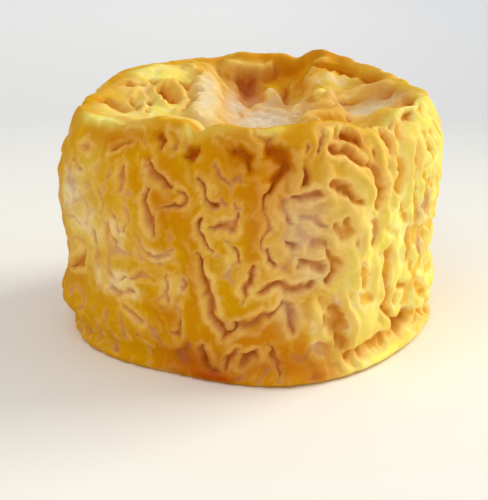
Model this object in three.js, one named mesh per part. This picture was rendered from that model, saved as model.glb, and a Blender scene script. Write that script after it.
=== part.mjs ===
// A small soft cheese with a washed, wrinkled rind, whole and uncut.
// It is one solid drum: flat base with a thin foot lip, an upright wall that
// slumps a little, a rolled rim, and a top that has sunk into a shallow hollow.
// Millimetres, +Z up, standing on z = 0 with its front towards -Y.
import * as THREE from "three";

// Driving dimensions
const wallRadius = 43.2; // mean radius of the wall
const rimHeight = 55.1; // mean height of the rim's crest
const crestInset = 4; // from the wall in to the rim's crest
const hollowDepth = 8; // from the rim's crest down to the sunken floor
const footHeight = 2.6; // thin lip where the curd spread on the shelf
const footTuck = 1.3; // how far the wall draws in above the lip
const corners = { count: 5, bulge: 1.0, angle: -77 }; // soft corners left by the draining mould
const sideFlat = 0.4; // the plan is this much shorter towards +X than towards -X
const folds = { depth: 0.7, coarse: 11, fine: 23, lean: 0.5 }; // broad folds, counted round the wall
// Swellings and hollows of the wall: where, how wide and tall, and how far out it goes there.
const lumps = [
  { angle: -168, height: 9, wide: 26, tall: 5, out: 2.2 }, // slumped foot at the left
  { angle: -172, height: 35, wide: 30, tall: 9, out: 1.2 }, // belly at the left
  { angle: -176, height: 51, wide: 55, tall: 6, out: -2.0 }, // rounded left shoulder
  { angle: -10, height: 46, wide: 35, tall: 7, out: 1.0 }, // full right shoulder
  { angle: -80, height: 2, wide: 24, tall: 5, out: 1.2 }, // foot pushed out at the front
  { angle: -176, height: 50, wide: 34, tall: 7, out: 2.0 }, // fuller in the middle of that shoulder
  { angle: -50, height: 2, wide: 24, tall: 3.5, out: 1.4 }, // foot spread at the front right
  { angle: -88, height: 1.5, wide: 16, tall: 3, out: 0.6 }, // lip of the foot at the front
  { angle: 176, height: 24, wide: 30, tall: 11, out: 1.3 }, // belly behind the left side
];
// The rim's crest leans up towards one side, and has its own dips and knuckles.
const rimTilt = { angle: 66, up: 1.2 };
const rimRipple = { count: 9, up: 0.35, turn: 40 };
const rimBumps = [
  { angle: 176, wide: 42, up: -2.6 }, // slumped left side
  { angle: 70, wide: 60, up: 0.6 }, // high back
  { angle: 68, wide: 10, up: 0.8 }, // knuckle at the back
  { angle: 14, wide: 24, up: -0.7 }, // shallow dip at the right
  { angle: -49, wide: 10, up: -3.7 }, // low saddle at the front right
  // smaller knuckles and dips, from the left round the front
  { angle: -133, wide: 6, up: -0.6 },
  { angle: -118, wide: 9, up: 1.1 },
  { angle: -66, wide: 10, up: 1.1 },
  { angle: -22, wide: 8, up: -0.7 },
  { angle: 0, wide: 13, up: -1.9 },
  { angle: 24, wide: 8, up: -0.4 },
  { angle: 38, wide: 7, up: -0.9 },
  { angle: 60, wide: 6, up: 1.3 },
  { angle: 95, wide: 6, up: 1.1 },
  { angle: 107, wide: 8, up: -0.3 },
  { angle: 133, wide: 9, up: 0.7 },
  { angle: 146, wide: 9, up: 0.8 },
  { angle: 165, wide: 6, up: -0.3 },
];
const segments = 84;
const wallRows = 13;
const topRows = 12;

const degrees = (angle) => (angle * Math.PI) / 180;
const bump = (distance, width) => Math.exp(-((distance / width) ** 2));
// Signed difference of two angles, in degrees, from -180 to 180.
const turn = (a, b) => ((((a - b) % 360) + 540) % 360) - 180;

// How far the plan outline stands proud of the mean circle, at an angle in degrees.
function outline(angle) {
  const corner = corners.bulge * Math.cos(degrees(corners.count * (angle - corners.angle)));
  return corner - sideFlat * Math.cos(degrees(angle));
}

// How far the rim's crest stands above its mean height.
function rimLift(angle) {
  const tilt = rimTilt.up * Math.cos(degrees(angle - rimTilt.angle));
  const ripple = rimRipple.up * Math.cos(degrees(rimRipple.count * angle + rimRipple.turn));
  const bumps = rimBumps.reduce((sum, b) => sum + b.up * bump(turn(angle, b.angle), b.wide), 0);
  return tilt + ripple + bumps;
}

// How far the wall stands out at its swellings and hollows.
function swelling(angle, height) {
  return lumps.reduce((sum, lump) => {
    const across = bump(turn(angle, lump.angle), lump.wide);
    return sum + lump.out * across * bump(height - lump.height, lump.tall);
  }, 0);
}

// Broad folds run up the wall and lean a little; they fade at the foot and in the hollow.
function foldWave(angle, height) {
  const coarse = Math.sin(degrees(folds.coarse * angle + folds.lean * height));
  const fine = Math.sin(degrees(folds.fine * angle - 4 * folds.lean * height + 60));
  return folds.depth * (0.6 * coarse + 0.4 * fine);
}

// Half section from the middle of the base, up the wall, over the rim, to the middle of the top.
function halfSection() {
  const crestRadius = wallRadius - crestInset;
  const foot = [
    new THREE.Vector2(0, 0),
    new THREE.Vector2(wallRadius - 12, 0),
    new THREE.Vector2(wallRadius - 1.2, 0),
    new THREE.Vector2(wallRadius - 0.1, 0.4 * footHeight),
    new THREE.Vector2(wallRadius - 0.4, footHeight),
  ];
  const wall = new THREE.SplineCurve([
    new THREE.Vector2(wallRadius - footTuck, footHeight + 1.6),
    new THREE.Vector2(wallRadius + 0.3, 10),
    new THREE.Vector2(wallRadius - 0.1, 22),
    new THREE.Vector2(wallRadius + 0.5, 34),
    new THREE.Vector2(wallRadius + 0.2, 43),
    new THREE.Vector2(wallRadius - 0.9, 49),
    new THREE.Vector2(wallRadius - 2.3, rimHeight - 1.9),
  ]);
  const top = new THREE.SplineCurve([
    new THREE.Vector2(crestRadius, rimHeight),
    new THREE.Vector2(crestRadius - 4, rimHeight - 0.18 * hollowDepth),
    new THREE.Vector2(crestRadius - 10, rimHeight - 0.68 * hollowDepth),
    new THREE.Vector2(crestRadius - 18, rimHeight - 0.95 * hollowDepth),
    new THREE.Vector2(0, rimHeight - hollowDepth),
  ]);
  return [...foot, ...wall.getSpacedPoints(wallRows), ...top.getSpacedPoints(topRows)];
}

// The turned drum, then every point moved by the outline, the rim and the folds.
function cheeseGeometry() {
  const geometry = new THREE.LatheGeometry(halfSection(), segments);
  geometry.rotateX(Math.PI / 2);
  const place = geometry.getAttribute("position");
  for (let i = 0; i < place.count; i++) {
    const x = place.getX(i);
    const y = place.getY(i);
    const z = place.getZ(i);
    const radius = Math.hypot(x, y);
    if (radius < 1e-6) continue;
    const angle = (Math.atan2(y, x) * 180) / Math.PI;
    const share = radius / wallRadius;
    const up = THREE.MathUtils.smoothstep(z, footHeight, 12);
    const outer = THREE.MathUtils.smoothstep(share, 0.55, 0.9);
    const shaped = share * outline(angle) + outer * swelling(angle, z);
    const moved = radius + shaped + up * outer * foldWave(angle, z);
    const lift = rimLift(angle) * THREE.MathUtils.smoothstep(z, 30, rimHeight - 3) * outer;
    place.setXYZ(i, (x / radius) * moved, (y / radius) * moved, z + lift);
  }
  geometry.computeBoundingBox();
  const centre = geometry.boundingBox.getCenter(new THREE.Vector3());
  geometry.translate(-centre.x, -centre.y, 0);
  geometry.computeVertexNormals();
  return geometry;
}

const rind = new THREE.MeshStandardMaterial({
  color: 0xd99a1e,
  roughness: 0.5,
  metalness: 0,
});
const cheeseWheel = new THREE.Mesh(cheeseGeometry(), rind);
cheeseWheel.name = "cheese_wheel";

const part = new THREE.Group();
part.add(cheeseWheel);
export default part;
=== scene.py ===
import math
import bpy
import numpy as np
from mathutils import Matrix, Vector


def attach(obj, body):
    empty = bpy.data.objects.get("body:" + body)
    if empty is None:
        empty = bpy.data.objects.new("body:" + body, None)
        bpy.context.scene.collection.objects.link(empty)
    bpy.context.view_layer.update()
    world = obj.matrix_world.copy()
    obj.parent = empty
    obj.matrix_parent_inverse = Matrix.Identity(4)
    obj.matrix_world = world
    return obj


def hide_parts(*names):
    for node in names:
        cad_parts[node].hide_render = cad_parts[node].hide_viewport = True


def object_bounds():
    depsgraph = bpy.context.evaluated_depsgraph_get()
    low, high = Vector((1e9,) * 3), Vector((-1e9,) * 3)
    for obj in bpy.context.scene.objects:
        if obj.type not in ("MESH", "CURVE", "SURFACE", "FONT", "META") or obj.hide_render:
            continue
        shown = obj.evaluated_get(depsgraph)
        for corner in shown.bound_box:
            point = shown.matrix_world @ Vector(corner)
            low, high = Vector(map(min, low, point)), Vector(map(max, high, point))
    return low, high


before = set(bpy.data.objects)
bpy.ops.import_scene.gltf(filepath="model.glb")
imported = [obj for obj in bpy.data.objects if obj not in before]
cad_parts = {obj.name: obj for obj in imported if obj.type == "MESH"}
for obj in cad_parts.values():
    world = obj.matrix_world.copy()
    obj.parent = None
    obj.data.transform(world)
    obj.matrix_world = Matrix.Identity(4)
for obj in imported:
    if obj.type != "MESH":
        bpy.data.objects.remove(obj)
cadLow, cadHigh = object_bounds()
mm = 0.001  # the shapes below are worked out in millimetres


# Eased step: 0 at low, 1 at high, and 3t^2 - 2t^3 between them.
def smoothStep(low, high, x):
    t = np.clip((x - low) / (high - low), 0, 1)
    return t * t * (3 - 2 * t)


# Bell curve: e to the minus (distance over width) squared.
def bump(distance, width):
    return np.exp(-((distance / width) ** 2))


# Signed difference of two angles, in degrees, from -180 to 180.
def turn(a, b):
    return (a - b + 180) % 360 - 180


# Wave of an angle in degrees.
def wave(angle):
    return np.cos(np.radians(angle))


# Blend of two values: the first where the share is 0, the second where it is 1.
def mixTo(a, b, share):
    return a * (1 - share) + b * share


# The cheese's body before its wrinkles: the same drum, with the same lumps, as the plain solid.
body = {
    "wallRadius": 43.2,
    "rimHeight": 55.1,
    "crestInset": 4.0,
    "hollowDepth": 8.0,
    "footHeight": 2.6,
    "footTuck": 1.3,
    "corners": {"count": 5, "bulge": 1.0, "angle": -77},
    "sideFlat": 0.4,
    "folds": {"depth": 0.7, "coarse": 11, "fine": 23, "lean": 0.5},
    # angle, height, wide, tall, out
    "lumps": [
        (-168, 9, 26, 5, 2.2), (-172, 35, 30, 9, 1.2), (-176, 51, 55, 6, -2.0),
        (-10, 46, 35, 7, 1.0), (-80, 2, 24, 5, 1.2), (-176, 50, 34, 7, 2.0),
        (-50, 2, 24, 3.5, 1.4), (-88, 1.5, 16, 3, 0.6), (176, 24, 30, 11, 1.3),
    ],
    "rimTilt": (66, 1.2),
    "rimRipple": (9, 0.35, 40),
    # angle, wide, up
    "rimBumps": [
        (176, 42, -2.6), (70, 60, 0.6), (68, 10, 0.8), (14, 24, -0.7), (-118, 9, 1.1), (-66, 10, 1.1),
        (-49, 10, -3.7), (-133, 6, -0.6), (-22, 8, -0.7), (0, 13, -1.9), (24, 8, -0.4), (38, 7, -0.9),
        (60, 6, 1.3), (95, 6, 1.1), (107, 8, -0.3), (133, 9, 0.7), (146, 9, 0.8), (165, 6, -0.3),
    ],
    # narrow knuckles and notches that only the wrinkled skin has: angle, wide, up
    "rimKnuckles": [
        (-107, 2.2, -1.4), (-99, 5, 0.9), (-87, 3.5, -0.3), (-42, 3.5, -1.4),
        (72, 3.5, -1.9), (77, 4, -0.6), (50, 4, 0.5), (26, 4, 0.6),
    ],
}


# Cubic through the points: each stretch blends its two ends and the slopes to their neighbours.
def bentLine(points, steps=6):
    p = np.array(points, float)
    before = np.vstack([p[:1], p[:-2]])
    after = np.vstack([p[2:], p[-1:]])
    a, b = p[:-1, None], p[1:, None]
    slopeA, slopeB = (b - before[:, None]) / 2, (after[:, None] - a) / 2
    t = np.arange(steps)[None, :, None] / steps
    line = (
        (2 * t**3 - 3 * t**2 + 1) * a
        + (t**3 - 2 * t**2 + t) * slopeA
        + (3 * t**2 - 2 * t**3) * b
        + (t**3 - t**2) * slopeB
    )
    return np.vstack([line.reshape(-1, p.shape[1]), p[-1:]])


# Half section from the middle of the base to the middle of the top, as run, radius and height.
def halfSection():
    radius, rim, foot = body["wallRadius"], body["rimHeight"], body["footHeight"]
    crest, hollow = radius - body["crestInset"], body["hollowDepth"]
    corner = (radius - 1.2, 0)
    side = [
        corner,
        (radius - 0.1, 0.4 * foot),
        (radius - 0.4, foot),
        (radius - body["footTuck"], foot + 1.6),
        (radius + 0.3, 10),
        (radius - 0.1, 22),
        (radius + 0.5, 34),
        (radius + 0.2, 43),
        (radius - 0.9, 49),
        (radius - 2.3, rim - 1.9),
        (crest, rim),
        (crest - 4, rim - 0.18 * hollow),
        (crest - 10, rim - 0.68 * hollow),
        (crest - 18, rim - 0.95 * hollow),
        (0, rim - hollow),
    ]
    line = np.vstack([[(0, 0), corner], bentLine(side, 16)[1:]])
    run = np.concatenate([[0], np.cumsum(np.hypot(*np.diff(line, axis=0).T))])
    return run - run[1], line[:, 0], line[:, 1]


# A run is counted along the section from the base's edge: below 0 under the cheese.
sectionRun, sectionRadius, sectionHeight = halfSection()
crestRun = sectionRun[np.argmax(sectionHeight)]


# How far the plan outline stands proud of the mean circle.
def outline(angle):
    c = body["corners"]
    return c["bulge"] * wave(c["count"] * (angle - c["angle"])) - body["sideFlat"] * wave(angle)


# How far the rim's crest stands above its mean height.
def rimLift(angle):
    towards, tilt = body["rimTilt"]
    count, ripple, start = body["rimRipple"]
    bumps = body["rimBumps"] + body["rimKnuckles"]
    lift = sum(up * bump(turn(angle, a), wide) for a, wide, up in bumps)
    return tilt * wave(angle - towards) + ripple * wave(count * angle + start) + lift


# How far the wall stands out at its swellings and hollows.
def swelling(angle, height):
    return sum(
        out * bump(turn(angle, a), wide) * bump(height - h, tall)
        for a, h, wide, tall, out in body["lumps"]
    )


# Broad folds run up the wall and lean a little.
def foldWave(angle, height):
    f = body["folds"]
    coarse = np.sin(np.radians(f["coarse"] * angle + f["lean"] * height))
    fine = np.sin(np.radians(f["fine"] * angle - 4 * f["lean"] * height + 60))
    return f["depth"] * (0.6 * coarse + 0.4 * fine)


# Point of the unwrinkled skin at an angle and a run: the section, then the outline, rim and folds.
def bodyPoint(angle, run):
    r = np.interp(run, sectionRun, sectionRadius)
    z = np.interp(run, sectionRun, sectionHeight)
    share = r / body["wallRadius"]
    up = smoothStep(body["footHeight"], 12, z)
    outer = smoothStep(0.55, 0.9, share)
    moved = r + share * outline(angle) + outer * swelling(angle, z)
    moved = moved + up * outer * foldWave(angle, z)
    lift = rimLift(angle) * smoothStep(30, body["rimHeight"] - 3, z) * outer
    a = np.radians(angle)
    return np.stack([np.cos(a) * moved, np.sin(a) * moved, z + lift], -1)


# Outward direction of the half section, turned to the angle: its slope's normal.
def outwards(angle, run):
    step = 1.2  # on either side, so that the direction turns softly
    dr, dz = (
        np.interp(run + step, sectionRun, line) - np.interp(run - step, sectionRun, line)
        for line in (sectionRadius, sectionHeight)
    )
    size = np.hypot(dr, dz)
    a = np.radians(angle)
    return np.stack([np.cos(a) * dz / size, np.sin(a) * dz / size, -dr / size], -1)


# A sheet is a flat map of the skin, on which the wrinkles are drawn: its cell sizes, and the place
# of each column and row in millimetres.
def makeSheet(width, height, columns, rows, left, low, wraps):
    stepX, stepY = width / columns, height / rows
    return {
        "shape": (rows, columns),
        "stepX": stepX,
        "stepY": stepY,
        "x": left + (np.arange(columns) + 0.5) * stepX,
        "y": low + (np.arange(rows) + 0.5) * stepY,
        "wraps": width if wraps else None,
    }


# The wall's sheet goes all the way round and up over the rim; the top's is square.
girth = 2 * math.pi * body["wallRadius"]
alongDegree = girth / 360
wallTall, topSpan = 76.0, 92.0
wallSheet = makeSheet(girth, wallTall, 1024, 304, -girth / 2, 0.0, True)
topSheet = makeSheet(topSpan, topSpan, 368, 368, -topSpan / 2, -topSpan / 2, False)


# Wave numbers of a sheet, for filters made in frequency.
def frequencies(sheet):
    rows, columns = sheet["shape"]
    return np.fft.rfftfreq(columns, sheet["stepX"])[None], np.fft.fftfreq(rows, sheet["stepY"])[:, None]


# A field blurred by a bell of that size.
def soften(sheet, field, size):
    fx, fy = frequencies(sheet)
    bell = np.exp(-2 * (math.pi * size) ** 2 * (fx**2 + fy**2))
    return np.fft.irfft2(np.fft.rfft2(field) * bell, s=sheet["shape"])


# Soft random blotches of about that size, with a mean of 0 and a spread of 1.
def blotches(sheet, size, seed):
    fx, fy = frequencies(sheet)
    grain = np.random.default_rng(seed).standard_normal(sheet["shape"])
    bell = np.exp(-2 * size**2 * (fx**2 + fy**2))
    field = np.fft.irfft2(np.fft.rfft2(grain) * bell, s=sheet["shape"])
    return field / field.std()


# Distances along the sheet from a middle, the short way round where the sheet wraps.
def across(sheet, middle):
    x = sheet["x"] - middle
    if sheet["wraps"]:
        x = (x + sheet["wraps"] / 2) % sheet["wraps"] - sheet["wraps"] / 2
    return x


# How far a drawn line reaches, in its half widths, and how far its wobble can shift it.
lineReach, lineShift = 4.0, 2.5


# Distance from a bent line, in half widths of that line, which narrows towards its ends.
def drawn(sheet, points, width, wobble, taper):
    line = bentLine(points)
    field = np.full(sheet["shape"], lineReach)
    margin = lineReach * width + lineShift
    middle = line.mean(0)
    x, y = across(sheet, middle[0]), sheet["y"] - middle[1]
    line = line - middle
    (left, low), (right, high) = line.min(0) - margin, line.max(0) + margin
    spot = np.ix_(np.flatnonzero((y > low) & (y < high)), np.flatnonzero((x > left) & (x < right)))
    px = x[spot[1]] + wobble[0][spot]
    py = y[spot[0]] + wobble[1][spot]
    start, along = line[:-1], np.diff(line, axis=0)
    length = np.hypot(*along.T)
    run = np.concatenate([[0], np.cumsum(length)]) / length.sum()
    fromX, fromY = px[..., None] - start[:, 0], py[..., None] - start[:, 1]
    t = np.clip((fromX * along[:, 0] + fromY * along[:, 1]) / (length**2 + 1e-9), 0, 1)
    gap = (fromX - t * along[:, 0]) ** 2 + (fromY - t * along[:, 1]) ** 2
    nearest = gap.argmin(-1)[..., None]
    there = np.take_along_axis(run[:-1] + t * np.diff(run), nearest, -1)[..., 0]
    gap = np.sqrt(np.take_along_axis(gap, nearest, -1)[..., 0])
    narrowed = width * (1 - taper * (2 * there - 1) ** 2)
    field[spot] = np.minimum(gap / narrowed, lineReach)
    return field


# How the skin buckles: what drives it, its time step, its limit and its first random roughness.
buckling = {"drive": 0.35, "pace": 0.5, "limit": 1.5, "grain": 0.2, "unrestSize": 0.22}


# Skin that buckles as it grows: waves near one spacing grow, the cube of the height holds them back,
# and where hold is above 0 they settle on the guide.
def buckled(sheet, guide, hold, folds, seed):
    pace, start = buckling["pace"], buckling["grain"]
    fx, fy = frequencies(sheet)
    kx, ky = fx * folds["spacing"], fy * folds["spacing"] * folds["tall"]
    square = kx**2 + ky**2
    growth = buckling["drive"] - (1 - square) ** 2
    growth = growth - folds["upright"] * ky**2 / np.maximum(square, 1e-6)
    grain = np.random.default_rng(seed).standard_normal(sheet["shape"])
    field = start * grain + (1 - start) * np.minimum(hold, 1) * np.clip(guide, -1, 1)
    unrest = folds["unrest"] * blotches(sheet, buckling["unrestSize"] * folds["spacing"], seed + 100)
    for _ in range(folds["steps"]):
        field = np.clip(field, -buckling["limit"], buckling["limit"])
        push = hold * (guide - field) - field**3 + unrest
        grown = (np.fft.rfft2(field) + pace * np.fft.rfft2(push)) / (1 - pace * growth)
        field = np.fft.irfft2(grown, s=sheet["shape"])
    return field


# Value of a field at points of the sheet: the four nearest cells, weighed by closeness.
def readSheet(sheet, field, x, y):
    rows, columns = sheet["shape"]
    cx = (x - sheet["x"][0]) / sheet["stepX"]
    cy = np.clip((y - sheet["y"][0]) / sheet["stepY"], 0, rows - 1.001)
    if not sheet["wraps"]:
        cx = np.clip(cx, 0, columns - 1.001)
    i, j = np.floor(cx).astype(int), np.floor(cy).astype(int)
    fx, fy = cx - i, cy - j
    i0, i1 = i % columns, (i + 1) % columns
    low = field[j, i0] * (1 - fx) + field[j, i1] * fx
    high = field[j + 1, i0] * (1 - fx) + field[j + 1, i1] * fx
    return low * (1 - fy) + high * fy


# Fields read at places shifted by small and large blotches, so that smooth edges turn ragged.
def ragged(sheet, fields, small, large, seed):
    fine, broad = 0.9, 3.0
    shiftX, shiftY = (
        small * blotches(sheet, fine, seed + i) + large * blotches(sheet, broad, seed + 10 + i)
        for i in (0, 1)
    )
    x, y = sheet["x"][None] + shiftX, sheet["y"][:, None] + shiftY
    return {name: readSheet(sheet, field, x, y) for name, field in fields.items()}


# A soft patch of a sheet: a bell about a middle, wide one way and tall the other.
def patch(sheet, x, y, wide, tall):
    return np.exp(-((across(sheet, x)[None] / wide) ** 2) - ((sheet["y"][:, None] - y) / tall) ** 2)


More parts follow.
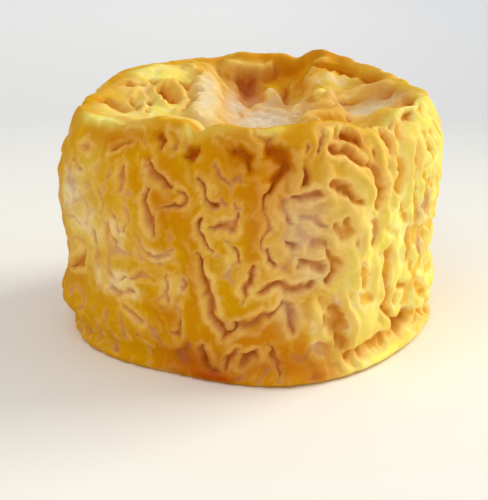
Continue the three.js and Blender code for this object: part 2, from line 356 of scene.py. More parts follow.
# Lines drawn on the wall: points as degrees round it and millimetres up it, half width, depth.
# Dells are broad shallow hollows with a pale floor, and pits are deep pockets, darkened with painted shade.
wallMarks = {
    "creases": [
        ([(-120, 46), (-117.3, 44.5), (-115, 43.2), (-112.4, 42.8)], 0.8, 1.6),
        ([(-119.8, 41.5), (-121, 38.7), (-120.6, 36.5), (-120.5, 34), (-119.3, 31.5)], 0.7, 1.3),
        ([(-110, 41.6), (-108.3, 40.7), (-108.9, 39.2), (-111.8, 38.1), (-115.5, 37)], 0.6, 1.1),
        ([(-104, 45), (-102.8, 42.3), (-101.5, 40.1), (-99.9, 38.3)], 0.7, 1.3),
        ([(-104.5, 36.5), (-104.7, 33.9), (-103.4, 31.5), (-101.5, 29.5)], 0.6, 1.4),
        ([(-104.8, 28.5), (-103.1, 24.7), (-102.2, 21.6), (-101.7, 17.6), (-98.5, 10.6)], 0.75, 1.6),
        ([(-97.6, 31.4), (-95.6, 29.5), (-93.4, 27.3)], 0.6, 1.1),
        ([(-90, 27), (-90.7, 23.4), (-92.4, 20.3), (-92.7, 18.8)], 0.6, 1.3),
        ([(-102.2, 34.8), (-99.1, 34.4), (-95, 35.2), (-93.6, 37.2)], 0.7, 1.1),
        ([(-122, 28.4), (-118.7, 26.8), (-115.3, 26.7), (-112.8, 28)], 0.5, 0.8),
        ([(-113.6, 23.2), (-115, 20.3), (-113.5, 17.4)], 0.6, 0.8),
        ([(-110.8, 16.5), (-110.3, 13), (-111, 10)], 0.6, 0.8),
        ([(-95, 14.3), (-96.7, 12), (-98.5, 10.6)], 0.8, 1.4),
        ([(-95, 14.3), (-91, 14.3), (-86.5, 15.9), (-82.5, 18.2)], 0.8, 1.3),
        ([(-82.5, 18.2), (-80.5, 16), (-79.5, 12)], 1.0, 0.9),
        ([(-104.5, 9), (-102.5, 5.5), (-100.5, 3)], 0.8, 1.0),
        ([(-94, 8.6), (-96.8, 6.2), (-97.8, 4)], 0.7, 1.2),
        ([(-93, 5.5), (-91, 7), (-88.5, 6.6)], 0.9, 1.4),
        ([(-86, 9.5), (-84, 6), (-82.5, 2.5)], 0.5, 1.0),
        ([(-132, 48.4), (-128, 49.4), (-124.5, 49.6)], 0.6, 1.0),
        ([(-129.3, 44.5), (-128.2, 42)], 0.6, 0.8), ([(-146, 47), (-141, 47.6)], 0.6, 0.8),
        ([(-134.6, 34.8), (-132, 32.1), (-131.2, 29)], 0.5, 0.7),
        ([(-140, 33), (-136, 31), (-137, 27.5)], 0.5, 0.6),
        ([(-129, 36.5), (-126.8, 33.5), (-127.5, 31)], 0.5, 0.6),
        ([(-150, 22.5), (-152.3, 19.8), (-157.5, 17.2), (-166, 14.6)], 0.9, 1.5),
        ([(-131, 20.3), (-124, 21.8), (-118.5, 21.6)], 0.6, 0.7),
        ([(-131, 14.5), (-127, 13.5), (-123.5, 11)], 0.7, 0.9),
        ([(-87.2, 41.8), (-87.7, 38.5), (-87.3, 35), (-88.5, 31.5), (-87.5, 29)], 0.5, 1.0),
        ([(-83.8, 41.5), (-82, 38.5), (-80.8, 35.5)], 0.8, 0.8),
        ([(-86.5, 29.5), (-84.8, 26.3)], 0.7, 1.2), ([(-77.8, 26), (-74, 26.2), (-70.6, 26)], 0.8, 1.5),
        ([(-70.2, 29), (-68, 26.6), (-68.2, 24.2), (-69.8, 22.4)], 0.8, 1.6),
        ([(-89.5, 20.2), (-86, 21.8), (-83, 22.6), (-80, 21.2), (-77, 21.6), (-73.6, 21.8)], 0.9, 1.4),
        ([(-79.3, 41), (-75.5, 41.7), (-71.3, 41.2)], 0.8, 1.5),
        ([(-81, 31), (-79, 30), (-77.5, 29.8)], 0.8, 1.1),
        ([(-76.5, 36), (-73, 35.5), (-70.5, 34.5)], 0.7, 0.8),
        ([(-68.8, 42.8), (-65.3, 41.2), (-62.6, 39.2), (-60.3, 38.4)], 1.0, 1.5),
        ([(-66.9, 34), (-64.8, 32.2), (-62.6, 33), (-63.2, 35.6)], 0.9, 1.2),
        ([(-69.2, 50.3), (-64, 48.6), (-60, 47.6), (-57, 46.4)], 1.0, 1.7),
        ([(-57, 46.4), (-55, 44), (-53.3, 40), (-53.8, 36.5)], 0.9, 1.6),
        ([(-55, 53), (-52, 50.6), (-50.8, 48)], 0.9, 1.5),
        ([(-47.2, 46), (-45.8, 42.5), (-45.5, 38.5)], 1.1, 1.5), ([(-47.5, 53), (-44.5, 51)], 1.0, 1.3),
        ([(-40.2, 47.5), (-38.3, 44.5), (-38.8, 40.5)], 0.8, 1.0),
        ([(-30.5, 46.5), (-26.5, 44.8)], 0.7, 0.9),
        ([(-49.6, 27.5), (-49, 23), (-49.2, 18), (-48, 13), (-45, 10)], 0.8, 1.3),
        ([(-40.6, 29.5), (-40.2, 26), (-40.5, 23.5)], 0.7, 1.0),
        ([(-43.3, 17.2), (-40, 16.5)], 0.6, 0.9), ([(-58.8, 24), (-57, 21.5), (-56.4, 19.8)], 0.9, 1.0),
        ([(-58, 18), (-56.2, 16.6), (-55, 16.8)], 0.8, 0.9),
        ([(-63, 5.2), (-55, 6.0), (-48, 6.9), (-41, 8.0), (-33, 8.6), (-26, 9)], 0.8, 1.7),
        ([(-33, 15), (-30.5, 13.5), (-27.5, 12)], 1.0, 1.2), ([(-70.4, 14.6), (-70, 12.6)], 0.7, 1.5),
        ([(-55.5, 34), (-54, 31), (-55, 28)], 0.7, 0.8),
        ([(-44, 35.5), (-42.5, 33), (-43, 31)], 0.6, 0.7),
        ([(-134.6, 34), (-135, 30), (-133, 26)], 0.4, 0.7),
        ([(-125, 33), (-123, 29.5), (-124.2, 26)], 0.4, 0.5),
        ([(-123, 28.5), (-119, 27), (-115, 27.8), (-112.5, 29.5)], 0.4, 0.6),
        ([(-112.5, 26), (-117, 24.6), (-121, 25.2), (-123.5, 27)], 0.4, 0.6),
        ([(-117, 22.5), (-115, 20), (-117, 17), (-114.5, 15.5)], 0.4, 0.6),
        ([(-111, 24), (-110, 20), (-112, 16), (-110.5, 12)], 0.4, 0.5),
        ([(-129, 45.5), (-128, 42), (-130, 39)], 0.6, 0.7),
        ([(-147.5, 47.2), (-143, 46.5), (-139, 47)], 0.5, 0.7),
        ([(-158, 41), (-152, 42), (-147, 41)], 0.6, 0.6),
        ([(-163, 27), (-156, 28.5), (-150, 28)], 0.6, 0.6),
        ([(-143, 30), (-141, 26), (-142, 22)], 0.5, 0.5),
        ([(-139, 40), (-137.5, 36), (-139, 33)], 0.5, 0.5),
        ([(-148, 36), (-145, 33), (-146, 29)], 0.5, 0.5),
        ([(-137, 17), (-131, 16), (-126, 18)], 0.5, 0.6),
        ([(-100.5, 47), (-99, 44.8), (-96.5, 44)], 0.5, 0.7),
        ([(-97, 45), (-94.5, 45.8), (-93, 44.4)], 0.4, 0.6), ([(-94.5, 41), (-93, 38.5)], 0.5, 0.7),
        ([(-81.5, 46), (-80.5, 43), (-79.5, 41)], 0.5, 0.7), ([(-77.5, 52), (-77, 50)], 0.5, 0.8),
        ([(-73, 54.5), (-72.5, 52), (-73.5, 50.5)], 0.5, 0.8),
        ([(-69.5, 55), (-69, 53), (-67, 52)], 0.5, 0.8),
        ([(-90, 54.5), (-88.5, 53), (-85.5, 52.6)], 0.6, 0.9),
        ([(-100, 53.5), (-97, 52.5), (-95.5, 51.5)], 0.6, 0.8),
        ([(-113, 53.8), (-111, 52), (-110.5, 50)], 0.6, 0.8),
        ([(-124, 53.5), (-121.5, 52.5), (-119.5, 51)], 0.6, 0.8),
    ],
    "dells": [
        ([(-99.2, 39.3), (-97, 36.8), (-93, 38)], 1.6, 0.8), ([(-97, 36.5), (-97.5, 34)], 1.7, 0.7),
        ([(-98.5, 12.8), (-95.5, 13.5)], 1.6, 0.9), ([(-109, 22.5), (-107.8, 19)], 1.5, 0.6),
        ([(-80, 40), (-76, 38.5), (-72, 38)], 2.2, 0.9), ([(-82, 35), (-79, 32), (-73, 31)], 2.3, 0.6),
        ([(-84.5, 19.4), (-80, 19.8), (-77, 19.6)], 1.3, 0.7), ([(-82, 17), (-79.8, 12.5)], 1.9, 0.8),
        ([(-66, 41.3), (-62.5, 40)], 1.5, 0.6), ([(-67.2, 15), (-65, 12)], 1.9, 1.3),
        ([(-66, 9), (-64.3, 7)], 1.5, 1.4), ([(-160, 36.5), (-156, 35)], 1.8, 0.5),
        ([(-128, 38.5), (-126.5, 36.5)], 1.7, 0.5), ([(-138, 29), (-128, 25)], 2.2, 0.4),
        ([(-126, 17), (-122, 17.5)], 1.8, 0.5),
    ],
    "pits": [
        ([(-87.2, 50.8), (-84.8, 50), (-83.2, 47.8), (-83.6, 45.5)], 1.9, 2.6),
        ([(-83.6, 45.5), (-85.4, 43.4), (-86.8, 41.8)], 0.9, 2.0),
        ([(-95, 50.2), (-92.5, 49.4), (-90.6, 47)], 1.7, 2.0),
        ([(-107.8, 48.4), (-105.5, 49.8), (-104.5, 50.3)], 1.0, 1.8),
        ([(-115.8, 53), (-114.7, 50.3)], 1.1, 1.6), ([(-76, 47.8), (-76.6, 44.2)], 0.9, 1.8),
        ([(-66, 52.8), (-62.5, 51.9), (-60.2, 51.2)], 1.6, 2.2),
        ([(-45.5, 8.6), (-41, 9.2), (-37.5, 8.4)], 1.5, 2.2), ([(-44, 54.6), (-40, 54.8)], 2.0, 1.5),
        ([(-119.8, 47.6), (-119, 46.6)], 0.6, 1.2), ([(-93, 7), (-90, 6.2)], 1.0, 1.6),
    ],
    "ridges": [
        ([(-108.5, 44), (-106.6, 40.5), (-108.1, 33.9), (-106, 24.2), (-105.4, 11)], 1.7, 0.35),
        ([(-89.2, 45), (-89.8, 37.4), (-90.6, 30.4)], 1.6, 0.3),
        ([(-79, 50.5), (-77.6, 47.5), (-79, 44.5), (-81.5, 42.3), (-84.5, 41)], 1.1, 0.6),
        ([(-74.6, 50), (-74.8, 47)], 0.7, 0.5),
        ([(-71.3, 49.3), (-70.4, 46.2), (-69.9, 41.8), (-69, 38.5), (-70.5, 36)], 0.9, 0.6),
        ([(-69.3, 48.3), (-65.8, 46.6), (-62.3, 45.3), (-57.7, 42.3), (-55.8, 39)], 1.1, 0.7),
        ([(-66.5, 39.6), (-62.3, 37.6), (-58.3, 33), (-57.9, 29.9), (-59.6, 27.3)], 1.2, 0.7),
        ([(-69.8, 31.8), (-64, 30), (-62.6, 27.5), (-63.2, 24), (-67, 21), (-71.5, 20)], 1.1, 0.6),
        ([(-60, 54.1), (-54.8, 48.9), (-52.5, 46), (-51.2, 41.8), (-50.7, 36.5), (-51.5, 32)], 1.0, 0.7),
        ([(-56.6, 54.4), (-51.9, 51.7), (-49.6, 48.4), (-48.5, 44), (-46.8, 36)], 0.9, 0.7),
        ([(-49.6, 53.9), (-45, 51), (-41.7, 48.4), (-41.2, 44), (-41.2, 39.6), (-42, 35)], 1.0, 0.7),
        ([(-73.9, 17), (-72.8, 13.7), (-71.4, 11), (-68.3, 8)], 1.0, 1.3),
        ([(-65, 18.3), (-62.3, 15.4), (-61.2, 12.8), (-60.8, 8.4)], 1.2, 1.2),
        ([(-60.2, 27), (-59.5, 24), (-60.5, 20.5)], 1.0, 0.5),
        ([(-54.5, 26), (-53.5, 22), (-53.5, 18)], 1.2, 0.5),
        ([(-46.3, 31), (-46, 25), (-45.2, 20)], 1.4, 0.5), ([(-57, 14.5), (-56, 9)], 2.6, 0.5),
        ([(-37.5, 52), (-35.5, 47), (-34.5, 42)], 1.3, 0.5),
    ],
}

# Where each tint or habit of the wall lies: angle, height, degrees wide, mm tall, strength.
wallAreas = {
    "open": [
        (-60, 30, 19, 34, 1), (-40, 30, 24, 40, 1), (-5, 30, 32, 40, 1), (100, 30, 40, 30, 1),
        (172, 30, 18, 26, 0.7),
    ],
    "calm": [
        (-150, 30, 26, 24, 1), (150, 30, 20, 24, 0.6), (60, 28, 20, 22, 0.5),
    ],
    "smooth": [
        (-108, 54, 24, 3.5, 1), (-90, 55.5, 20, 3, 0.8), (-150, 53, 20, 4, 1), (90, 55, 80, 4, 1),
        (-14, 54, 14, 3, 0.8), (-44, 2.2, 24, 2.8, 1), (-78.5, 54, 5, 3, 1), (-131.7, 51.5, 9, 4, 1),
        (-123, 53, 8, 3, 1),
    ],
    "bloom": [
        (-163, 34, 9, 8, 1), (-148, 30, 11, 7, 0.9), (-131, 30, 7, 7, 0.9), (-130, 19, 9, 5, 0.8),
        (-140, 20, 8, 5, 0.6), (-113, 21, 5, 5, 0.7), (-117, 27, 6, 3, 0.6), (-108, 28, 3, 10, 0.35),
        (-78, 34, 8, 7, 0.5), (-96, 37, 4, 4, 0.6), (-97, 27, 4, 4, 0.6), (-72, 12.5, 2.6, 6, 1),
        (-62, 14, 2, 5, 1), (-59, 24, 3, 13, 0.9), (-55, 32, 4, 4, 0.7), (-48, 20, 8, 9, 0.5),
        (-66, 18, 3, 3, 0.9), (-40, 30, 8, 12, 0.5), (-28, 30, 10, 16, 0.7), (150, 30, 30, 14, 0.8),
        (60, 22, 26, 12, 0.8), (105, 34, 20, 8, 0.6), (6, 24, 12, 12, 0.7), (20, 42, 10, 6, 0.6),
        (-178, 45, 10, 7, 0.6), (176, 20, 14, 9, 0.7),
    ],
    # sunny: painted light, a paler and brighter yellow where the key light falls: the right side, the
    # foot's flange, lit ridges and the rim's edges
    "sunny": [
        (-57, 22, 12, 24, 0.9), (-45, 28, 14, 30, 1), (-26, 30, 30, 50, 1), (20, 30, 34, 50, 0.35),
        (-50, 2.5, 18, 3.2, 1), (-71.5, 13, 3, 6, 0.9), (-62, 14, 2.2, 6, 1), (-134, 54.5, 10, 2, 1),
        (-107, 54, 2, 1.5, 0.6), (-69, 54.5, 6, 2, 0.45), (-86, 54.5, 5, 1.2, 0.6),
        (-100, 55, 9, 1.6, 0.35), (-122, 55, 8, 2, 0.3), (-142, 43, 6, 6, 0.25),
        (-145, 28, 14, 10, 0.3), (120, 40, 20, 12, 0.4),
    ],
    "warm": [
        (-94, 46, 16, 9, 1), (-106, 25, 3.5, 24, 0.7), (-89.5, 38, 3, 14, 1), (-114, 40, 7, 9, 0.9),
        (-115, 14.5, 5, 3, 1), (-158, 15, 14, 6, 0.8), (-105, 6, 16, 7, 1), (-80, 5, 12, 5, 1),
        (-66, 11, 3, 4, 1), (-56, 45, 5, 6, 0.8), (-60, 50, 7, 3, 0.9), (-46, 43, 2.5, 5, 0.8),
        (-42, 8.5, 5, 2, 1), (-66, 40, 6, 6, 0.4), (-130, 50, 12, 2.5, 0.9), (-43, 54.5, 4, 1.2, 1),
        (-90, 12, 9, 6, 0.8), (-73, 50, 6, 4, 0.4), (60, 55, 34, 7, 1), (96, 55, 20, 6, 1),
        (60, 42, 30, 9, 0.9), (150, 8, 30, 8, 0.8), (-30, 12, 5, 3, 0.6), (30, 14, 12, 8, 0.6),
    ],
    # deep: painted shade, a darker orange-brown in the pits and recesses under the rim, and a darker band
    # along the foot
    "deep": [
        (-106, 49.3, 3, 1.2, 0.55), (-93, 49, 3, 2, 0.5), (-84, 49, 3, 3, 0.6),
        (-62, 52, 3.5, 1.6, 0.6), (-55, 45, 1.6, 2.4, 0.4), (-65.5, 13, 2, 3, 0.4),
        (-64.5, 7.5, 2, 2, 0.5), (-42, 8.5, 3.5, 1.2, 0.5), (-106, 3.5, 12, 3, 0.75),
        (-92, 5, 6, 3, 0.6), (-79, 4.5, 7, 4, 0.45), (-72, 2, 4, 2, 0.7), (90, 2, 70, 3, 0.5),
        (160, 6, 20, 4, 0.4), (-118, 44.5, 4, 2, 0.3), (-120.5, 35, 1, 5, 0.25), (-97, 12, 4, 3, 0.35),
        (-90, 13, 5, 2, 0.3),
    ],
    "ash": [
        (-76, 33, 8, 8, 0.35), (-74, 24, 6, 2.5, 0.35), (-80, 16, 4, 4, 0.25), (-160, 34, 8, 6, 0.3),
        (150, 28, 20, 10, 0.3),
    ],
    "rust": [
        (-101, 1.5, 8, 1.6, 1), (-107, 6, 3, 2.5, 0.5), (-106, 49.5, 1.8, 0.9, 0.5),
        (-72, 1.2, 4, 1.2, 0.5), (110, 1.5, 30, 2, 0.5),
    ],
}

# The far side wears the front's cuts and spots again: from one angle to another, mirrored or not,
# then turned. A spot wider than echoWidest isn't copied.
wallEchoes = [(-126, -58, -1, -26), (-126, -58, 1, 234), (-70, -38, 1, 70)]
echoWidest = 13


# Lines with their copies, of which each lies wholly between the two angles.
def echoedLines(lines):
    return lines + [
        ([(side * angle + by, height) for angle, height in points], width, depth)
        for low, high, side, by in wallEchoes
        for points, width, depth in lines
        if all(low < angle < high for angle, _ in points)
    ]


# Spots with the copies of the small ones between the two angles.
def echoedSpots(spots):
    return spots + [
        (side * angle + by, height, wide, tall, strength)
        for low, high, side, by in wallEchoes
        for angle, height, wide, tall, strength in spots
        if low < angle < high and wide < echoWidest
    ]


# The wall's marks are placed on a plain cylinder as an eye in front sees them.
markView = {"radius": 43.5, "eye": (-1.9, -244.4, 100.0), "sunk": 0.6, "front": 80}


# Those places on the wall's sheet: the sight line through each is followed to where it meets the body.
def placeMarks(points):
    seen, height = points[:, 0], points[:, 1]
    a, eye = np.radians(seen), np.array(markView["eye"])
    way = np.stack([markView["radius"] * np.cos(a), markView["radius"] * np.sin(a), height], -1) - eye
    square, middle = (way[:, :2] ** 2).sum(-1), way[:, :2] @ eye[:2]
    rising = (sectionRun >= 0) & (sectionRun <= crestRun)
    straight = np.interp(height, sectionHeight[rising], sectionRun[rising])
    angle, run = seen, straight
    for _ in range(8):
        there = bodyPoint(angle, run)
        radius = np.hypot(there[:, 0], there[:, 1]) - markView["sunk"]
        inside = np.maximum(middle**2 - square * (eye[:2] @ eye[:2] - radius**2), 0)
        hit = eye + way * ((-middle - np.sqrt(inside)) / square)[:, None]
        angle = np.degrees(np.arctan2(hit[:, 1], hit[:, 0]))
        run = np.clip(run + hit[:, 2] - bodyPoint(angle, run)[:, 2], 0.3, crestRun + 0.5)
    front = np.abs(turn(seen, -90)) < markView["front"]
    return np.stack([np.where(front, angle, seen) * alongDegree, np.where(front, run, straight)], -1)


# Shape across a drawn line, by the distance from its middle in half widths.
profiles = {
    "crease": lambda q: 0.5 * bump(q, 1) + 0.5 * bump(q, 1.9),  # a narrow cut in a wider valley
    "cut": lambda q: bump(q, 0.7),
    "lip": lambda q: bump(q - 2.2, 0.65),
    "dell": lambda q: smoothStep(1.35, 0.7, q),
    "pit": lambda q: np.exp(-(q**3)),
    "ridge": lambda q: bump(q, 1),
    "bank": lambda q: np.exp(-(q**6)),
}
lineHalo = 1.4  # half widths within which a line is felt


# Lines of one kind, each as depth times its profile, the strongest winning, and where they lie.
def stamp(sheet, marks, wobble, kind, taper):
    total, presence = np.zeros(sheet["shape"]), np.zeros(sheet["shape"])
    for points, width, depth in marks:
        points = np.array(points, float)
        if sheet is wallSheet:
            points = placeMarks(points)
        away = drawn(sheet, points, width, wobble, taper)
        total = np.maximum(total, depth * profiles[kind](away))
        presence = np.maximum(presence, bump(away, lineHalo))
    return total, presence


# The wall's spots of one tint, the strongest winning.
def wallTint(spots):
    total = np.zeros(wallSheet["shape"])
    for angle, height, wide, tall, strength in spots:
        [(x, y)] = placeMarks(np.array([(angle, height)], float))
        total = np.maximum(total, strength * patch(wallSheet, x, y, wide * alongDegree, tall))
    return total


# The top's spots of one tint, the strongest winning.
def topTint(spots):
    return np.maximum.reduce([strength * patch(topSheet, *spot) for *spot, strength in spots])


# How far the skin slides along the sheet: down the slope, so that its creases close up.
def slides(sheet, slope, pinch):
    return {
        "slideX": -np.gradient(slope, sheet["stepX"], axis=1) * pinch,
        "slideY": -np.gradient(slope, sheet["stepY"], axis=0) * pinch,
    }


wallLook = {
    # spacing from fold to fold; tall: how much longer the folds are up the wall than round it
    "folds": {"spacing": 4.0, "tall": 1.3, "upright": 0.06, "unrest": 0.45, "steps": 60},
    "smallFolds": {"spacing": 2.3, "tall": 1.15, "upright": 0.03, "unrest": 0.4, "steps": 40},
    "foldDepth": 1.3,  # of an ordinary fold
    "handShare": 0.7,  # how far the ordinary folds give way beside the drawn marks
    "pinch": 0.4,  # how far the skin slides into its creases
    "wobble": 0.3,  # of the drawn marks
    "crease": 1.05,  # share of each mark's own depth
    "dell": 0.9,
    "ridge": 1.1,
    "lip": 0.25,  # beside a crease
    "uneven": 0.16,
    # pitFull: painted shade, the depth at which a pit's colour is fully darkened
    "pitFull": 2.2,  # depth at which a pit is fully dark
    "rimRelief": 0.85,  # how high on its fold the smooth rim counts
}


# Height of the wall's skin and the tints that follow it, on the wall's sheet.
def wallRelief():
    s, look = wallSheet, wallLook
    wobble = [look["wobble"] * blotches(s, 4.0, seed) for seed in (11, 12)]
    cuts = echoedLines(wallMarks["creases"])
    crease, creaseOn = stamp(s, cuts, wobble, "crease", 0.5)
    # the narrow cut along each crease, used only for its painted shade in the colour
    line, _ = stamp(s, cuts, wobble, "cut", 0.6)
    lip, _ = stamp(s, cuts, wobble, "lip", 0.4)
    dell, _ = stamp(s, echoedLines(wallMarks["dells"]), wobble, "dell", 0.2)
    pit, pitOn = stamp(s, echoedLines(wallMarks["pits"]), wobble, "pit", 0.3)
    ridge, ridgeOn = stamp(s, wallMarks["ridges"], wobble, "ridge", 0.4)
    print("wall marks drawn")

    # where the drawn marks, the open folds, the calm stretches and the smooth rim lie
    drawnHere = np.clip(2.2 * soften(s, np.maximum.reduce([creaseOn, pitOn, ridgeOn]), 2.2), 0, 1)
    tint = {name: wallTint(echoedSpots(spots)) for name, spots in wallAreas.items()}
    loose, calm = smoothStep(0.15, 0.65, tint["open"]), smoothStep(0.2, 0.7, tint["calm"])
    rim = np.maximum(tint["smooth"], smoothStep(crestRun - 2, crestRun + 2, s["y"])[:, None])
    rim = smoothStep(0.2, 0.8, rim)

    # ordinary folds, which settle on the drawn marks, and small ones on their backs
    dellOn = smoothStep(0, 0.6, dell)
    guide = ridgeOn - 1.2 * np.maximum(creaseOn, pitOn) - 0.5 * dellOn
    hold = 1.5 * np.maximum.reduce([creaseOn, pitOn, ridgeOn, 0.4 * dellOn])
    folds = buckled(s, guide, hold, look["folds"], 3)
    small = buckled(s, np.clip(folds, -1, 1), 0.25, look["smallFolds"], 9)
    print("wall folds grown")

    # a low level leaves broad backs and thin valleys, and a high one opens the valleys
    level = -0.42 + 0.6 * loose + 0.25 * blotches(s, 7.0, 21)
    relief = smoothStep(level - 0.8, level + 0.75, folds)
    # the folds are shallow where it is calm, on the rim and beside the drawn marks
    deep = look["foldDepth"] * (1 - 0.5 * calm) * (0.75 + 0.3 * loose) * (1 - 0.85 * rim)
    deep = deep * (1 - look["handShare"] * drawnHere)
    deep = deep * (1 + 0.3 * np.clip(blotches(s, 9.0, 22), -1.5, 1.5))
    # the small folds come in patches, and lie mostly in the valleys
    smallDeep = (0.2 + 0.1 * calm + 0.2 * loose) * smoothStep(-1.1, 0.9, blotches(s, 6.0, 33))
    smallDeep = smallDeep * (1 - 0.8 * rim) * (0.6 + 0.8 * (1 - relief) + 0.4 * calm)
    height = deep * (relief - 1) - look["crease"] * crease - look["dell"] * dell - pit
    height = height + look["ridge"] * ridge + look["lip"] * lip * (1 - rim)
    height = height + look["uneven"] * blotches(s, 3.2, 31) * (1 - 0.5 * rim)
    height = height + smallDeep * (smoothStep(-0.9, 0.6, small) - 0.6)
    faded = 1 - (1 - relief) * (1 - 0.85 * look["handShare"] * drawnHere)
    fields = {
        "height": height,
        "relief": np.clip(faded - 0.9 * crease - 0.5 * dell + 0.5 * ridgeOn * ridge, 0, 1),
        "line": line,
        "lip": np.clip(0.9 * lip + 0.6 * ridgeOn * loose, 0, 1),
        "slope": faded - 0.8 * crease - 0.5 * pit,
        "pit": pit / look["pitFull"],
    }
    fields = ragged(s, fields, 0.2, 0.3, 61)
    height, slope = soften(s, fields["height"], 0.2), soften(s, fields["slope"], 0.45)
    mottled = np.clip(0.6 + 0.3 * folds + 0.25 * small, 0, 1)
    print("wall relief made")
    return {
        "height": height,
        **slides(s, slope, look["pinch"] * (1 - 1.2 * loose) * (1 - rim)),
        "relief": mixTo(mixTo(fields["relief"], mottled, 0.6 * calm), look["rimRelief"], 0.85 * rim),
        "cavity": np.clip((soften(s, height, 1.1) - height) / 0.9, -0.6, 1),
        "line": np.clip(fields["line"], 0, 1),
        "lip": fields["lip"],
        "deep": np.clip(np.maximum(fields["pit"], tint["deep"]), 0, 1),
        **{name: tint[name] for name in ("bloom", "sunny", "warm", "ash", "rust")},
    }


# Lines drawn on the top: points in millimetres across it, half width, height or depth.
# Swells come first, as x, y, wide, tall, up.
topMarks = {
    "swells": [
        (-20, 0, 9, 20, 4.2), (-20, 20, 12, 9, 3.2), (4, 33, 18, 4.5, -3.8), (3, 12, 9, 18, -0.8),
        (27, 4, 6, 6, -0.7), (18, 14, 2.2, 3.0, 0.8),
    ],
    "banks": [
        ([(-12.4, 23), (-10.8, 11), (-10.2, 0), (-11.4, -11), (-10, -20)], 4.3, 3.8),
        ([(-12, 31), (-12, 22)], 4.0, 2.4),
        ([(17.5, 25), (18.4, 17), (16.2, 8), (16.2, -2), (13.8, -9), (14.6, -16)], 4.2, 3.6),
        ([(18, 31), (17.5, 24)], 3.4, 2.4), ([(4.8, 28), (5.2, 24), (6.3, 19)], 2.5, 2.4),
        ([(17, 22.5), (21, 22.8), (25.5, 20.5)], 2.4, 1.0),
    ],
    "ridges": [
        ([(-38, 4), (-36.4, 9.7), (-34, 13), (-31.5, 14.5)], 1.4, 1.0),
        ([(-30.8, 7.5), (-29.6, 12), (-27, 15), (-24.4, 15.4)], 1.1, 1.2),
        ([(-28.4, 11), (-26.6, 5.6), (-27.4, -1), (-24.4, -7.5)], 0.9, 1.2),
        ([(-24, 14), (-24.8, 8.3), (-23, 1), (-20.2, -4.5)], 0.9, 1.4),
        ([(-23, 15), (-20, 15.8), (-17.2, 11), (-16.6, 4), (-15.4, -3), (-17, -9.5)], 1.1, 1.5),
        ([(-37.5, -2), (-34, -8.5), (-30, -14), (-26, -18)], 1.6, 0.8),
        ([(-27, -17), (-22, -15.5), (-17, -13.5)], 1.5, 1.1),
        ([(-33, -20), (-26, -25), (-19, -26)], 1.8, 0.8),
        ([(-24, 22), (-19, 24.5), (-15, 23)], 2.2, 0.9),
        ([(-7, 34.8), (-3, 34.6), (0, 34.2), (4.5, 34.7)], 1.5, 3.0),
        ([(19.4, 10.8), (23.5, 15.6), (27.6, 15.4), (31.8, 12.6), (34, 11)], 1.3, 1.3),
        ([(20, -3), (25, -2.2), (30, -1.2), (35.5, 0)], 1.3, 1.0),
        ([(32.2, 4), (33.8, 3.7), (36, 3.5)], 0.6, 0.7), ([(22, -24), (28, -18), (33, -10)], 1.5, 1.2),
        ([(17, 24.5), (14.2, 21.4), (11.6, 16.5), (12.6, 9)], 0.9, 0.8),
        ([(-20, -29), (-10, -32), (2, -30)], 2.0, 0.8), ([(6, -23), (14, -27), (22, -26)], 2.0, 0.9),
        ([(-0.4, 19.8), (3.3, 16.8), (9.4, 8)], 0.9, 0.5),
        ([(-5.6, 2), (-1, 9.8), (4.3, 6), (9.5, -4)], 1.0, 0.45),
    ],
    "pits": [
        ([(-35.2, 4.5), (-33, 0.4), (-29.2, -3.8)], 2.0, 2.4),
        ([(-35.8, 3.6), (-33.8, 0.2), (-30.6, -3.4)], 0.9, 1.6),
        ([(-30.8, 8), (-29, 3), (-27.8, -3)], 0.6, 0.9), ([(-31.2, 13.2), (-28.6, 14)], 0.8, 1.3),
        ([(-26.4, 17), (-24.2, 16.4)], 0.7, 1.2),
        ([(-20.6, 17.6), (-18.4, 17.9), (-15.6, 16.8)], 1.1, 2.0),
        ([(-22.2, 11.5), (-20.4, 6.5), (-19.4, 0)], 2.5, 2.4),
        ([(-25.9, 2.6), (-24.4, -1.6)], 0.9, 1.1), ([(-24.2, -6), (-22.8, -9)], 0.6, 0.9),
        ([(-15.6, 5.5), (-14, 0), (-15, -8.5)], 0.8, 1.4), ([(-15, 26), (-13.6, 20)], 0.6, 0.9),
        ([(-1, 32.5), (-0.8, 28), (-0.2, 21)], 2.9, 2.5),
        ([(9.4, 30), (8, 24.5), (8.2, 18.5)], 0.9, 1.7), ([(-3.8, 15), (-2.9, 9), (-2.6, 2)], 0.5, 0.9),
        ([(15.5, 17.5), (13.8, 11.5), (14.9, 4.5)], 0.9, 1.0),
        ([(-8, -26), (-2, -23.5), (5, -26)], 1.2, 0.9), ([(12, -20), (18, -22.5)], 1.0, 0.8),
        ([(-28, -21), (-22, -22.5)], 1.0, 0.9),
        ([(16.5, 29), (22.4, 26), (26, 23.2), (29.2, 18.6)], 1.0, 1.7),
        ([(28.6, 18), (30.5, 16.2), (32.4, 15)], 1.2, 1.8),
        ([(22, 12.4), (25, 12), (28, 11.4)], 0.9, 0.8), ([(31.3, 8.4), (34, 8)], 1.0, 1.0),
        ([(35, -2), (34.4, -12), (32.6, -24)], 2.2, 3.2),
    ],
}

topLook = {
    "folds": {"spacing": 3.8, "tall": 1.0, "upright": 0.0, "unrest": 0.5, "steps": 60},
    "smallFolds": {"spacing": 2.2, "tall": 1.0, "upright": 0.0, "unrest": 0.4, "steps": 40},
    "foldDepth": 0.5,
    "pinch": 0.3,
    "pattern": 0.4,  # how much of the fold pattern shows in the colour
    "wobble": 0.3,  # of the ridges and pits
    "bend": 1.1,  # of the banks
    "pit": 1.1,  # share of each pit's own depth
    "uneven": 0.15,
    # pitFull: painted shade, the depth at which a pit's colour would be fully darkened
    "pitFull": 9,  # depth at which a pit would be fully dark
    "rim": (38, 31),  # from smooth to wrinkled, by the distance from the middle
}

